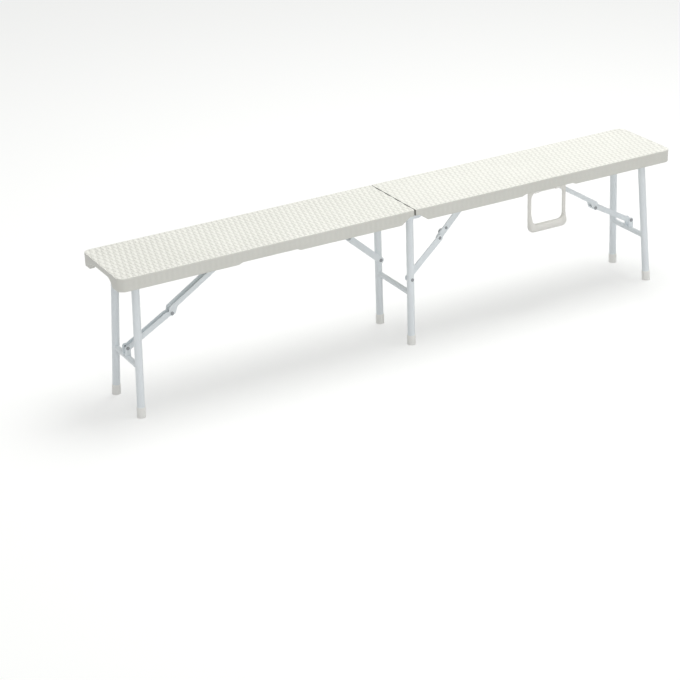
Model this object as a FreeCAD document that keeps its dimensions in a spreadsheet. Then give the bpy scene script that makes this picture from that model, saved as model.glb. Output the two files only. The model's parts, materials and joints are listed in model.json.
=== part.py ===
"""Folding bench that shuts like a suitcase, in millimetres.

X runs along the bench, Y to its far side and Z up. The origin is on the floor
under the middle of the bench. Most pieces are drawn for the right half and
placed a second time, turned half a circle about Z, for the left half.
"""
import FreeCAD
import Part
import Sketcher
import math
import os
import re

V = FreeCAD.Vector
Rotation = FreeCAD.Rotation
Placement = FreeCAD.Placement

doc = FreeCAD.newDocument("FoldingBench")
sheet = doc.addObject("Spreadsheet::Sheet", "Sizes")

SIZES = (
    ("bench_length", 1830, "over both seat halves"),
    ("bench_width", 250, "across the seat"),
    ("seat_height", 433, "floor to the top of the seat"),
    ("seam_gap", 2, "between the two seat halves"),
    ("skirt_depth", 40, "height of the moulded half"),
    ("panel_thick", 10, "solid part of the top"),
    ("rim_wall", 8, "thickness of the long rims"),
    ("end_rim", 16, "thickness of the end rim"),
    ("outer_corner", 22, "plan radius at the ends"),
    ("inner_corner", 14, "the same, inside the rim"),
    ("seam_corner", 4, "plan radius at the seam"),
    ("top_round", 2.5, "radius round the top edge"),
    ("notch_depth", 20, "rim height left out at the seam"),
    ("notch_half", 16, "half the flat part of that notch"),
    ("notch_full", 44, "where the rim is full again"),
    ("notch_round", 8, "radii of the notch"),
    ("arch_width", 155, "opening in the end rim"),
    ("arch_rise", 22, "height of that opening"),
    ("arch_slope", 12, "run of its slanted sides"),
    ("arch_round", 30, "upper radii of that opening"),
    ("arch_foot_round", 7, "lower radii of that opening"),
    ("recess_width", 190, "handle recess in the near rim"),
    ("recess_rise", 5, "height of that recess"),
    ("recess_slope", 10, "run of its slanted ends"),
    ("groove_length", 350, "stay groove under the panel"),
    ("groove_width", 34, "width of that groove"),
    ("groove_rise", 4.5, "depth of that groove"),
    ("hinge_offset", 18, "hinge axis from the middle"),
    ("hinge_drop", 24, "hinge axis below the seat top"),
    ("hinge_hub", 6, "radius of the strap hub"),
    ("hinge_gap", 1, "between a strap and the top tube's end"),
    ("hinge_plate_radius", 9, "rounded ends of the fixed plate"),
    ("hinge_plate_thick", 3, "fixed plate"),
    ("hinge_strap_thick", 3, "strap on the seat half"),
    ("hinge_strap_reach", 70, "how far the strap runs out"),
    ("hinge_flange_width", 19, "strap foot under the panel"),
    ("tube_od", 22, "leg and pivot tubes"),
    ("bar_od", 16, "crossbars"),
    ("tube_wall", 1.5, "all tubes"),
    ("leg_sink", 4.4, "leg's end past the round it is welded to"),
    ("cap_od", 25, "foot caps"),
    ("cap_height", 30, "foot caps"),
    ("cap_floor", 3, "bottom of a foot cap"),
    ("centre_foot_y", 91.1, "centre leg at the floor"),
    ("centre_top_y", 92.6, "centre leg at its top tube"),
    ("centre_tube_half", 110, "half the top tube"),
    ("centre_bar_z", 162, "crossbar height"),
    ("end_foot_inset", 48.1, "end leg at the floor, from the end"),
    ("end_foot_x", "=bench_length / 2 - end_foot_inset", "the same, from the middle"),
    ("end_foot_y", 86.9, "end leg at the floor"),
    ("end_top_inset", 70.3, "pivot tube axis, from the end"),
    ("end_top_x", "=bench_length / 2 - end_top_inset", "the same, from the middle"),
    ("end_top_y", 68.1, "end leg at the pivot tube"),
    ("end_pivot_drop", 29, "pivot axis below the seat top"),
    ("end_tube_half", 95, "half the pivot tube"),
    ("end_bar_z", 146, "crossbar height"),
    ("saddle_y", 38, "saddle from the middle"),
    ("saddle_width", 14, "saddle strap"),
    ("saddle_thick", 1.5, "saddle strap"),
    ("saddle_foot", 16, "each foot of the strap"),
    ("running_fit", 0.05, "radial play of a turning fit"),
    ("side_play", 0.3, "play beside a turning piece"),
    ("pin_radius", 3, "rivets and pins"),
    ("head_radius", 5, "their heads"),
    ("head_thick", 1.6, "their heads"),
    ("clevis_inset", 55.5, "lower pivot of the end stay, from the end"),
    ("clevis_x", "=bench_length / 2 - clevis_inset", "the same, from the middle"),
    ("clevis_z", 176, "the same, above the floor"),
    ("clevis_radius", 8, "round top of the ears"),
    ("stay_top_inset", 447, "upper pivot of the end stay, from the end"),
    ("stay_top_x", "=bench_length / 2 - stay_top_inset", "the same, from the middle"),
    ("groove_behind", 22, "from that pivot back to the groove's start"),
    ("groove_start", "=stay_top_x - groove_behind", "the same, from the middle"),
    ("stay_top_drop", 15, "the same, below the seat top"),
    ("stay_lower_span", 156.38, "between the lower link's pivots"),
    ("stay_upper_span", 304.69, "between the upper link's pivots"),
    ("link_width", 22, "upper link, outside"),
    ("link_wall", 1.7, "both channel links"),
    ("link_web", 2, "bottom of both channels"),
    ("upper_height", 14, "upper channel"),
    ("knee_cut", 1, "the upper link's knee inside the clevis radius"),
    ("upper_top_rise", 5.3, "upper pivot over the channel's bottom"),
    ("upper_knee_drop", 5.2, "middle pivot under the channel's bottom"),
    ("lower_height", 14.8, "lower channel at the clevis"),
    ("lower_knee_height", 17, "lower channel at the knee"),
    ("lower_knee_rise", 4, "middle pivot over its bottom"),
    ("lower_foot_rise", 9.8, "lower pivot over its bottom"),
    ("bracket_thick", 2, "pressed brackets"),
    ("bar_stay_y", 76.7, "inner face of the lower flat bar"),
    ("bar_stay_gap", 2.5, "washer gap between the flat bars"),
    ("bar_stay_height", 20, "flat bars"),
    ("bar_stay_thick", 3, "flat bars"),
    ("bar_stay_z", 208, "leg rivet above the floor"),
    ("bar_lower_span", 147.6, "between the lower bar's pivots"),
    ("bar_upper_span", 131.94, "between the upper bar's pivots"),
    ("bar_top_x", 203, "upper pivot of the centre stay"),
    ("bar_top_drop", 33, "the same, below the seat top"),
    ("lock_reach", 35, "second rivet from the knee"),
    ("lock_thick", 2, "lock plate"),
    ("lock_rivet", 2, "radius of its small rivet"),
    ("small_head", 4, "rivet heads on the lock plate"),
    ("washer_radius", 7, "washer in the knee"),
    ("bar_foot", 4, "bracket's foot past its plate"),
    ("handle_middle", 465, "handle along the bench"),
    ("handle_width", 135, "outside of the loop"),
    ("handle_strap", 11.5, "side straps, along the bench"),
    ("handle_thick", 6, "side straps, across"),
    ("handle_y", 110, "swing axis from the middle"),
    ("handle_drop", 39, "swing axis below the seat top"),
    ("handle_reach", 126, "swing axis to the lowest edge"),
    ("handle_corner", 14, "outer radii at the grip"),
    ("handle_bend", 18, "radii inside the loop"),
    ("grip_height", 24, "grip, upright"),
    ("grip_depth", 18, "grip, across"),
    ("grip_round", 6, "long outer edges of the grip"),
    ("grip_inner", 2.5, "grip past the straps, on the bench's side"),
    ("handle_bar", 4.5, "radius of the bar that it swings on"),
    ("clip_wall", 2, "round the bar"),
    ("clip_width", 12, "along the bar"),
    ("clip_offset", 36, "clips from the handle's middle"),
)


def fill_sheet():
    """Write each size with its name and its meaning."""
    for row, (name, size, meaning) in enumerate(SIZES, 1):
        sheet.set(f"A{row}", meaning)
        sheet.set(f"B{row}", str(size))
        sheet.setAlias(f"B{row}", name)
    doc.recompute()


def sized(text):
    """Point every size name in an expression at the sheet."""
    return re.sub(r"[a-z]+(_[a-z]+)+", r"Sizes.\g<0>", str(text))


def number(text):
    """Value of an expression of sizes."""
    return float(sheet.evalExpression(sized(text)))


def bind(item, prop, text):
    item.setExpression(prop, sized(text))


def bind_base(item, corner):
    for axis, text in zip("xyz", corner):
        bind(item, f"Placement.Base.{axis}", text)


# Plain solids, all sized from the sheet

AIM = {"X": Rotation(V(0, 1, 0), 90), "Y": Rotation(V(1, 0, 0), -90)}


def box(name, corner, lengths):
    item = doc.addObject("Part::Box", name)
    for prop, text in zip(("Length", "Width", "Height"), lengths):
        bind(item, prop, text)
    bind_base(item, corner)
    return item


def rod(name, start, axis, radius, length):
    item = doc.addObject("Part::Cylinder", name)
    item.Placement = Placement(V(), AIM[axis])
    bind(item, "Radius", radius)
    bind(item, "Height", length)
    bind_base(item, start)
    return item


def slanted_rod(name, start, end, radius):
    """Solid cylinder between two points given as size expressions."""
    first = V(*[number(text) for text in start])
    last = V(*[number(text) for text in end])
    run = "+".join(f"(({b})-({a}))^2" for a, b in zip(start, end))
    item = doc.addObject("Part::Cylinder", name)
    item.Placement = Placement(first, Rotation(V(0, 0, 1), last - first))
    bind(item, "Radius", radius)
    bind(item, "Height", f"sqrt({run})")
    return item


def fused(name, items):
    item = doc.addObject("Part::MultiFuse", name)
    item.Shapes = items
    return item


def trimmed(name, base, tools):
    item = doc.addObject("Part::Cut", name)
    item.Base = base
    item.Tool = tools[0] if len(tools) == 1 else fused(f"{name}_cutters", tools)
    return item


# Sketched solids

def plane(body, role):
    return [item for item in body.Origin.OriginFeatures if item.Role == role][0]


def empty_sketch(body, name, role):
    sketch = body.newObject("Sketcher::SketchObject", name)
    sketch.AttachmentSupport = [(plane(body, role), "")]
    sketch.MapMode = "FlatFace"
    return sketch


def hold(sketch, geometry, point, place):
    """Dimension one point of the sketch from its origin."""
    for kind, text in zip(("DistanceX", "DistanceY"), place):
        rule = Sketcher.Constraint(kind, -1, 1, geometry, point, number(text))
        index = sketch.addConstraint(rule)
        bind(sketch, f"Constraints[{index}]", text)


def outline(body, name, role, corners):
    """Closed outline of straight lines through the corners."""
    sketch = empty_sketch(body, name, role)
    points = [V(number(x), number(y), 0) for x, y in corners]
    count = len(points)
    for index in range(count):
        line = Part.LineSegment(points[index], points[(index + 1) % count])
        sketch.addGeometry(line, False)
    for index in range(count):
        joint = Sketcher.Constraint("Coincident", index, 2, (index + 1) % count, 1)
        sketch.addConstraint(joint)
    for index, corner in enumerate(corners):
        hold(sketch, index, 1, corner)
    return sketch


def circles(body, name, role, rounds):
    """Sketch of full circles, each given as x, y and radius."""
    sketch = empty_sketch(body, name, role)
    for index, (x, y, radius) in enumerate(rounds):
        centre = V(number(x), number(y), 0)
        sketch.addGeometry(Part.Circle(centre, V(0, 0, 1), number(radius)), False)
        hold(sketch, index, 3, (x, y))
        rule = sketch.addConstraint(Sketcher.Constraint("Radius", index, number(radius)))
        bind(sketch, f"Constraints[{rule}]", radius)
    return sketch


def pad(body, name, sketch, length, side="One side"):
    item = body.newObject("PartDesign::Pad", name)
    item.Profile = sketch
    item.SideType = side
    bind(item, "Length", length)
    return item


def pocket(body, name, sketch, length, side="One side", backwards=False):
    item = body.newObject("PartDesign::Pocket", name)
    item.Profile = sketch
    item.SideType = side
    item.Reversed = backwards
    bind(item, "Length", length)
    return item


def soften(body, name, radius, chosen):
    """Round the edges of the newest feature that pass the test."""
    doc.recompute()
    base = body.Tip
    names = [f"Edge{i}" for i, edge in enumerate(base.Shape.Edges, 1) if chosen(edge)]
    item = body.newObject("PartDesign::Fillet", name)
    item.Base = (base, names)
    bind(item, "Radius", radius)
    return item


def runs(edge, axis):
    """True for a straight edge along the axis."""
    if len(edge.Vertexes) != 2:
        return False
    run = edge.Vertexes[1].Point - edge.Vertexes[0].Point
    return edge.Length > 0.01 and abs(abs(run.dot(axis)) - edge.Length) < 1e-6


# Finished pieces

pieces = []
STILL = Placement()
TURNED = Placement(V(), Rotation(V(0, 0, 1), 180))
SIDES = (("right", STILL), ("left", TURNED))


def keep(item, node, turn=STILL):
    """Name a finished piece and put it in its place."""
    item.Label = node
    item.Placement = turn.multiply(item.Placement)
    pieces.append(item)
    return item


# Seat halves

def seat_half(side, turn, near):
    """Blow-moulded half: panel, rim, notch, end arch, handle recess and groove."""
    body = doc.addObject("PartDesign::Body", f"seat_{side}_body")
    start, end = "seam_gap / 2", "bench_length / 2"
    edge = "bench_width / 2"
    block = outline(body, f"seat_{side}_plan", "XY_Plane",
                    ((start, f"-{edge}"), (end, f"-{edge}"), (end, edge), (start, edge)))
    pad(body, f"seat_{side}_block", block, "skirt_depth")
    middle = number(end) / 2
    soften(body, f"seat_{side}_end_corners", "outer_corner",
           lambda e: runs(e, V(0, 0, 1)) and e.CenterOfMass.x > middle)
    soften(body, f"seat_{side}_seam_corners", "seam_corner",
           lambda e: runs(e, V(0, 0, 1)) and e.CenterOfMass.x < number("seam_gap"))
    top = number("skirt_depth")
    soften(body, f"seat_{side}_top_edge", "top_round",
           lambda e: e.BoundBox.ZMin > top - 0.01)
    hollow = hollow_plan(body, f"seat_{side}_hollow_plan")
    pocket(body, f"seat_{side}_hollow", hollow, "skirt_depth - panel_thick", backwards=True)
    cut_notch(body, side)
    cut_arch(body, side)
    cut_recess(body, side, near)
    cut_groove(body, side)
    bind_base(body, (0, 0, "seat_height - skirt_depth"))
    doc.recompute()
    return keep(body, f"seat_{side}", turn)


def hollow_plan(body, name):
    """Inside of the rim: open at the seam, with round corners at the end."""
    start, end = "seam_gap / 2 - rim_wall", "bench_length / 2 - end_rim"
    edge, radius = "(bench_width / 2 - rim_wall)", "inner_corner"
    x0, x1, y, r = (number(text) for text in (start, end, edge, radius))
    sketch = empty_sketch(body, name, "XY_Plane")
    up = V(0, 0, 1)
    sketch.addGeometry(Part.LineSegment(V(x0, -y), V(x1 - r, -y)), False)
    low = Part.Circle(V(x1 - r, r - y), up, r)
    sketch.addGeometry(Part.ArcOfCircle(low, -math.pi / 2, 0), False)
    sketch.addGeometry(Part.LineSegment(V(x1, r - y), V(x1, y - r)), False)
    high = Part.Circle(V(x1 - r, y - r), up, r)
    sketch.addGeometry(Part.ArcOfCircle(high, 0, math.pi / 2), False)
    sketch.addGeometry(Part.LineSegment(V(x1 - r, y), V(x0, y)), False)
    sketch.addGeometry(Part.LineSegment(V(x0, y), V(x0, -y)), False)
    for first in range(4):
        sketch.addConstraint(Sketcher.Constraint("Tangent", first, 2, first + 1, 1))
    for first in (4, 5):
        sketch.addConstraint(Sketcher.Constraint("Coincident", first, 2, (first + 1) % 6, 1))
    hold(sketch, 0, 1, (start, f"-{edge}"))
    hold(sketch, 5, 1, (start, edge))
    hold(sketch, 1, 3, (f"{end} - {radius}", f"{radius} - {edge}"))
    hold(sketch, 3, 3, (f"{end} - {radius}", f"{edge} - {radius}"))
    for arc in (1, 3):
        rule = sketch.addConstraint(Sketcher.Constraint("Radius", arc, r))
        bind(sketch, f"Constraints[{rule}]", radius)
    return sketch


def cut_notch(body, side):
    """Both long rims are shallow beside the seam, over the hinges."""
    shape = outline(body, f"seat_{side}_notch_side", "XZ_Plane",
                    (("-seam_gap", "-seam_gap"), ("notch_full", "-seam_gap"), ("notch_full", 0),
                     ("notch_half", "notch_depth"), ("-seam_gap", "notch_depth")))
    pocket(body, f"seat_{side}_notch", shape, "bench_width + rim_wall", "Symmetric")
    foot = number("notch_full")
    head = number("notch_half")
    depth = number("notch_depth")

    def turning(edge):
        at = edge.CenterOfMass
        low = abs(at.x - foot) < 0.01 and abs(at.z) < 0.01
        high = abs(at.x - head) < 0.01 and abs(at.z - depth) < 0.01
        return runs(edge, V(0, 1, 0)) and (low or high)

    soften(body, f"seat_{side}_notch_rounds", "notch_round", turning)


def cut_arch(body, side):
    """Wide low opening in the end rim, with long curves at its upper corners."""
    low, high = "arch_width / 2", "arch_width / 2 - arch_slope"
    shape = outline(body, f"seat_{side}_arch_front", "YZ_Plane",
                    ((f"-({low})", 0), (f"-({high})", "arch_rise"), (high, "arch_rise"), (low, 0)))
    pocket(body, f"seat_{side}_arch", shape, "bench_length", backwards=True)
    inside = number("bench_length / 2 - end_rim")
    for word, corner, radius in (("upper", number(high), "arch_round"),
                                 ("lower", number(low), "arch_foot_round")):
        soften(body, f"seat_{side}_arch_{word}", radius,
               lambda e: runs(e, V(1, 0, 0)) and e.CenterOfMass.x > inside
               and abs(abs(e.CenterOfMass.y) - corner) < 0.01)


def cut_recess(body, side, near):
    """Shallow recess in the lower edge of the near rim, over the handle."""
    low, high = "recess_width / 2", "recess_width / 2 - recess_slope"
    shape = outline(body, f"seat_{side}_recess_side", "XZ_Plane",
                    ((f"handle_middle - ({low})", 0), (f"handle_middle + {low}", 0),
                     (f"handle_middle + {high}", "recess_rise"),
                     (f"handle_middle - ({high})", "recess_rise")))
    pocket(body, f"seat_{side}_recess", shape, "bench_width", backwards=near)


def cut_groove(body, side):
    """Groove in the panel's underside that takes the folded stay."""
    edge = "groove_width / 2"
    last = "groove_start + groove_length"
    shape = outline(body, f"seat_{side}_groove_plan", "XY_Plane",
                    (("groove_start", f"-{edge}"), (last, f"-{edge}"),
                     (last, edge), ("groove_start", edge)))
    pocket(body, f"seat_{side}_groove", shape, "skirt_depth - panel_thick + groove_rise",
           backwards=True)


# Tubes and feet

def tube(name, start, end, outer, cutters):
    """Tube between two points, coped where the cutters pass."""
    skin = slanted_rod(f"{name}_skin", start, end, outer)
    bore = slanted_rod(f"{name}_bore", start, end, f"{outer} - tube_wall")
    return trimmed(f"{name}_tube", skin, [bore] + cutters)


def on_line(foot, top, height):
    """Point of a leg's axis at a height, as size expressions."""
    share = f"(({height}) - ({foot[2]})) / (({top[2]}) - ({foot[2]}))"
    return tuple(f"({a}) + (({b}) - ({a})) * {share}" for a, b in zip(foot, top))


def foot_cap(name, foot, top):
    """Closed cap on the end of a leg, cut level where it stands."""
    below = on_line(foot, top, "-cap_floor")
    crown = on_line(foot, top, "cap_height")
    skin = slanted_rod(f"{name}_skin", below, crown, "cap_od / 2")
    bore = slanted_rod(f"{name}_bore", on_line(foot, top, "cap_floor"),
                       on_line(foot, top, "cap_height + cap_floor"), "tube_od / 2")
    floor = box(f"{name}_floor", (f"({foot[0]}) - cap_od", f"({foot[1]}) - cap_od", "-cap_od"),
                ("2 * cap_od", "2 * cap_od", "cap_od"))
    return trimmed(f"{name}_cap", skin, [bore, floor])


def leg(name, foot, top, axis_rod, more=()):
    """Leg from inside its cap to the round tube that it is welded under."""
    start = on_line(foot, top, "cap_floor")
    end = on_line(foot, top, f"({top[2]}) - leg_sink")
    return tube(name, start, end, "tube_od / 2", [axis_rod] + list(more))


def centre_frame():
    """Upright frame in the middle: two legs, a top tube and a crossbar."""
    top_z = "seat_height - hinge_drop"
    half = "centre_tube_half"
    outer = rod("centre_top_skin", (0, f"-{half}", top_z), "Y", "tube_od / 2", f"2 * {half}")
    inner = rod("centre_top_bore", (0, f"-{half}", top_z), "Y", "tube_od / 2 - tube_wall",
                f"2 * {half}")
    keep(trimmed("centre_top", outer, [inner]), "centre_top_tube")
    legs = []
    for word, sign in (("near", "-"), ("far", "")):
        foot = (0, f"{sign}centre_foot_y", 0)
        top = (0, f"{sign}centre_top_y", top_z)
        cope = rod(f"centre_{word}_cope", (0, f"-{half}", top_z), "Y", "tube_od / 2", f"2 * {half}")
        hole = rod(f"centre_{word}_hole", (0, f"{sign}centre_foot_y - tube_od", "bar_stay_z"),
                   "Y", "pin_radius", "2 * tube_od")
        keep(leg(f"centre_{word}", foot, top, cope, [hole]), f"centre_leg_{word}")
        keep(foot_cap(f"centre_{word}", foot, top), f"centre_foot_{word}")
        legs.append((foot, top))
    crossbar("centre", legs, "centre_bar_z", STILL)
    for side, turn in SIDES:
        keep(leg_rivet(side), f"centre_stay_rivet_{side}", turn)


def crossbar(name, legs, height, turn):
    """Round bar between two legs, coped to them."""
    ends = [on_line(foot, top, height) for foot, top in legs]
    copes = [slanted_rod(f"{name}_bar_cope_{index}", foot, top, "tube_od / 2")
             for index, (foot, top) in enumerate(legs)]
    keep(tube(f"{name}_bar", ends[0], ends[1], "bar_od / 2", copes), f"{name}_crossbar", turn)


def leg_rivet(side):
    """Rivet through the near centre leg that carries the lower flat bar."""
    outside = "centre_foot_y + tube_od / 2 + head_thick"
    inside = "bar_stay_y - head_thick"
    shank = rod(f"leg_rivet_{side}_shank", (0, f"-({outside})", "bar_stay_z"), "Y",
                "pin_radius", f"({outside}) - ({inside})")
    heads = [rod(f"leg_rivet_{side}_outer", (0, f"-({outside})", "bar_stay_z"), "Y",
                 "head_radius", "head_thick / 2"),
             rod(f"leg_rivet_{side}_inner", (0, "-bar_stay_y + side_play / 2", "bar_stay_z"), "Y",
                 "head_radius", "head_thick - side_play / 2")]
    return fused(f"leg_rivet_{side}", [shank] + heads)


def end_frame(side, turn):
    """Splayed end frame: two legs welded under a pivot tube, and a crossbar."""
    top_z = "seat_height - end_pivot_drop"
    half = "end_tube_half"
    start = ("end_top_x", f"-{half}", top_z)
    outer = rod(f"end_{side}_skin", start, "Y", "tube_od / 2", f"2 * {half}")
    inner = rod(f"end_{side}_bore", start, "Y", "tube_od / 2 - tube_wall", f"2 * {half}")
    keep(trimmed(f"end_{side}_pivot", outer, [inner]), f"end_{side}_pivot_tube", turn)
    legs = []
    for word, sign in (("near", "-"), ("far", "")):
        foot = ("end_foot_x", f"{sign}end_foot_y", 0)
        top = ("end_top_x", f"{sign}end_top_y", top_z)
        cope = rod(f"end_{side}_{word}_cope", start, "Y", "tube_od / 2", f"2 * {half}")
        place = word if side == "right" else {"near": "far", "far": "near"}[word]
        keep(leg(f"end_{side}_{word}", foot, top, cope), f"end_{side}_leg_{place}", turn)
        keep(foot_cap(f"end_{side}_{word}", foot, top), f"end_{side}_foot_{place}", turn)
        legs.append((foot, top))
    crossbar(f"end_{side}", legs, "end_bar_z", turn)
    keep(clevis(side), f"end_{side}_clevis", turn)
    keep(clevis_rivets(side), f"end_{side}_clevis_rivets", turn)


def bar_line_x():
    """X of the end frame's crossbar, as an expression."""
    share = "end_bar_z / (seat_height - end_pivot_drop)"
    return f"(end_foot_x + (end_top_x - end_foot_x) * {share})"


def clevis(side):
    """Pressed fork on the crossbar: two ears with round tops and a bridge."""
    inner = lower_half_width("+ side_play")
    rise = "clevis_z - end_bar_z"
    middle = bar_line_x()
    ears = []
    for word, start in (("near", f"-({inner}) - bracket_thick"), ("far", inner)):
        ears.append(box(f"clevis_{side}_{word}", ("clevis_x - clevis_radius", start, "end_bar_z"),
                        ("2 * clevis_radius", "bracket_thick", rise)))
        ears.append(rod(f"clevis_{side}_{word}_top", ("clevis_x", start, "clevis_z"), "Y",
                        "clevis_radius", "bracket_thick"))
    bridge = box(f"clevis_{side}_bridge",
                 ("clevis_x - clevis_radius", f"-({inner})", "end_bar_z + bar_od / 2 - bracket_thick / 2"),
                 ("2 * clevis_radius", f"2 * ({inner})", "bracket_thick"))
    solid = fused(f"clevis_{side}_solid", ears + [bridge])
    seat = rod(f"clevis_{side}_seat", (middle, "-link_width", "end_bar_z"), "Y", "bar_od / 2",
               "2 * link_width")
    hole = rod(f"clevis_{side}_hole", ("clevis_x", "-link_width", "clevis_z"), "Y", "pin_radius",
               "2 * link_width")
    return trimmed(f"clevis_{side}", solid, [seat, hole])


def clevis_rivets(side):
    """Two short rivets, one in each ear, that the open lower pivot closes on."""
    inner = lower_half_width("+ side_play")
    parts = []
    for word, sign in (("near", "-"), ("far", "")):
        reach = "bracket_thick"
        start = f"-({inner}) - {reach}" if sign else inner
        head = f"-({inner}) - {reach} - head_thick" if sign else f"{inner} + {reach}"
        parts.append(rod(f"clevis_{side}_rivet_{word}", ("clevis_x", start, "clevis_z"), "Y",
                         "pin_radius", reach))
        parts.append(rod(f"clevis_{side}_head_{word}", ("clevis_x", head, "clevis_z"), "Y",
                         "head_radius", "head_thick"))
    return fused(f"clevis_{side}_rivets", parts)


def saddles(side):
    """Two pressed straps that hold the pivot tube under the panel."""
    axis = "seat_height - end_pivot_drop"
    under = "seat_height - panel_thick"
    inner = "tube_od / 2 + running_fit"
    outer = f"{inner} + saddle_thick"
    solids = []
    for word, sign in (("near", "-"), ("far", "")):
        y = f"{sign}saddle_y - saddle_width / 2"
        tag = f"saddle_{side}_{word}"
        hoop = rod(f"{tag}_hoop", ("end_top_x", y, axis), "Y", outer, "saddle_width")
        block = box(f"{tag}_block", (f"end_top_x - ({outer})", y, axis),
                    (f"2 * ({outer})", "saddle_width", f"{under} - ({axis})"))
        feet = box(f"{tag}_feet", (f"end_top_x - ({outer}) - saddle_foot", y,
                                   f"{under} - saddle_thick"),
                   (f"2 * ({outer} + saddle_foot)", "saddle_width", "saddle_thick"))
        bore = rod(f"{tag}_bore", ("end_top_x", y, axis), "Y", inner, "saddle_width")
        room = box(f"{tag}_room", (f"end_top_x - ({inner})", y, axis),
                   (f"2 * ({inner})", "saddle_width", f"{under} - ({axis})"))
        whole = fused(f"{tag}_whole", [hoop, block, feet])
        solids.append(trimmed(tag, whole, [bore, room]))
    return fused(f"saddles_{side}", solids)


# Middle hinges

def hinge_plate(word, sign):
    """Fixed plate welded to the top tube, with one pin hole for each half."""
    body = doc.addObject("PartDesign::Body", f"hinge_plate_{word}_body")
    radius = "hinge_plate_radius"
    shape = empty_sketch(body, f"hinge_plate_{word}_side", "XZ_Plane")
    reach = number("hinge_offset")
    rounding = number(radius)
    shape.addGeometry(Part.LineSegment(V(-reach, -rounding), V(reach, -rounding)), False)
    shape.addGeometry(Part.ArcOfCircle(Part.Circle(V(reach, 0), V(0, 0, 1), rounding),
                                       -math.pi / 2, math.pi / 2), False)
    shape.addGeometry(Part.LineSegment(V(reach, rounding), V(-reach, rounding)), False)
    shape.addGeometry(Part.ArcOfCircle(Part.Circle(V(-reach, 0), V(0, 0, 1), rounding),
                                       math.pi / 2, -math.pi / 2), False)
    for first, last in ((0, 1), (1, 2), (2, 3), (3, 0)):
        shape.addConstraint(Sketcher.Constraint("Tangent", first, 2, last, 1))
    hold(shape, 1, 3, ("hinge_offset", 0))
    hold(shape, 3, 3, ("-hinge_offset", 0))
    rule = shape.addConstraint(Sketcher.Constraint("Radius", 1, rounding))
    bind(shape, f"Constraints[{rule}]", radius)
    pad(body, f"hinge_plate_{word}_pad", shape, "hinge_plate_thick")
    holes = circles(body, f"hinge_plate_{word}_holes", "XZ_Plane",
                    (("hinge_offset", 0, "pin_radius"), ("-hinge_offset", 0, "pin_radius")))
    pocket(body, f"hinge_plate_{word}_pocket", holes, "4 * hinge_plate_thick", "Symmetric")
    place = "-centre_tube_half" if sign else "centre_tube_half + hinge_plate_thick"
    bind_base(body, (0, place, "seat_height - hinge_drop"))
    doc.recompute()
    keep(body, f"hinge_plate_{word}")


def hinge_pins(word, sign):
    """Two pins, riveted in the fixed plate, that the straps turn on."""
    axis = "seat_height - hinge_drop"
    inside = "centre_tube_half - hinge_strap_thick - hinge_gap - head_thick"
    outside = "centre_tube_half + hinge_plate_thick + head_thick"
    solids = []
    for index, x in enumerate(("-hinge_offset", "hinge_offset")):
        tag = f"hinge_pin_{word}_{index}"
        ends = (f"-({outside})", f"-({inside}) - head_thick + side_play")
        if not sign:
            ends = (f"{outside} - head_thick", inside)
        start = f"-({outside})" if sign else inside
        solids.append(rod(f"{tag}_shank", (x, start, axis), "Y", "pin_radius",
                          f"({outside}) - ({inside})"))
        solids.append(rod(f"{tag}_outer", (x, ends[0], axis), "Y", "head_radius", "head_thick"))
        solids.append(rod(f"{tag}_inner", (x, ends[1], axis), "Y", "head_radius",
                          "head_thick - side_play"))
    keep(fused(f"hinge_pins_{word}_all", solids), f"hinge_pins_{word}")


def hinge_straps(side):
    """Strap at each edge: a hub on the pin, an upright web and a foot under the panel."""
    axis = "seat_height - hinge_drop"
    under = "seat_height - panel_thick"
    inner = "centre_tube_half - hinge_strap_thick - hinge_gap"
    solids = []
    for word, sign in (("near", "-"), ("far", "")):
        tag = f"hinge_strap_{side}_{word}"
        y = f"-({inner}) - hinge_strap_thick" if sign else inner
        foot_y = y if sign else f"{inner} - hinge_flange_width + hinge_strap_thick"
        hub = rod(f"{tag}_hub", ("hinge_offset", y, axis), "Y", "hinge_hub", "hinge_strap_thick")
        arm = box(f"{tag}_arm", ("hinge_offset", y, f"{axis} - hinge_hub"),
                  ("hinge_strap_reach - hinge_offset", "hinge_strap_thick", "2 * hinge_hub"))
        web = box(f"{tag}_web", ("hinge_offset + 2 * hinge_hub", y, axis),
                  ("hinge_strap_reach - hinge_offset - 2 * hinge_hub", "hinge_strap_thick",
                   f"{under} - ({axis})"))
        foot = box(f"{tag}_foot", ("hinge_offset + 2 * hinge_hub", foot_y,
                                   f"{under} - hinge_strap_thick"),
                   ("hinge_strap_reach - hinge_offset - 2 * hinge_hub", "hinge_flange_width",
                    "hinge_strap_thick"))
        whole = fused(f"{tag}_whole", [hub, arm, web, foot])
        bore = rod(f"{tag}_bore", ("hinge_offset", y, axis), "Y", "pin_radius + running_fit",
                   "hinge_strap_thick")
        solids.append(trimmed(tag, whole, [bore]))
    return fused(f"hinge_straps_{side}_all", solids)


# End stays: two channel links with a knee

def lower_half_width(more=""):
    """Half the outer width of the lower link, which runs inside the upper one."""
    return f"(link_width / 2 - link_wall - side_play {more})"


def knee(low, high, low_span, high_span):
    """Knee of a two-link stay, on the lower side of the line between its ends."""
    reach = high - low
    span = reach.Length
    along = (low_span ** 2 - high_span ** 2 + span ** 2) / (2 * span)
    across = math.sqrt(max(low_span ** 2 - along ** 2, 0))
    unit = reach.normalize()
    down = V(-abs(unit.z), 0, -abs(unit.x))
    if unit.x > 0:
        down = V(abs(unit.z), 0, -abs(unit.x))
    return low + unit * along + down * across


def facing(start, end, rise_start, rise_end):
    """Placement at start whose X runs along a channel's bottom towards end."""
    run = end - start
    bottom = math.asin((rise_end - rise_start) / run.Length)
    slope = math.atan2(run.z, abs(run.x)) - bottom
    turn = Rotation(V(0, 1, 0), -math.degrees(slope))
    if run.x < 0:
        turn = Rotation(V(0, 0, 1), 180).multiply(turn)
    return Placement(start, turn)


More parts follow.
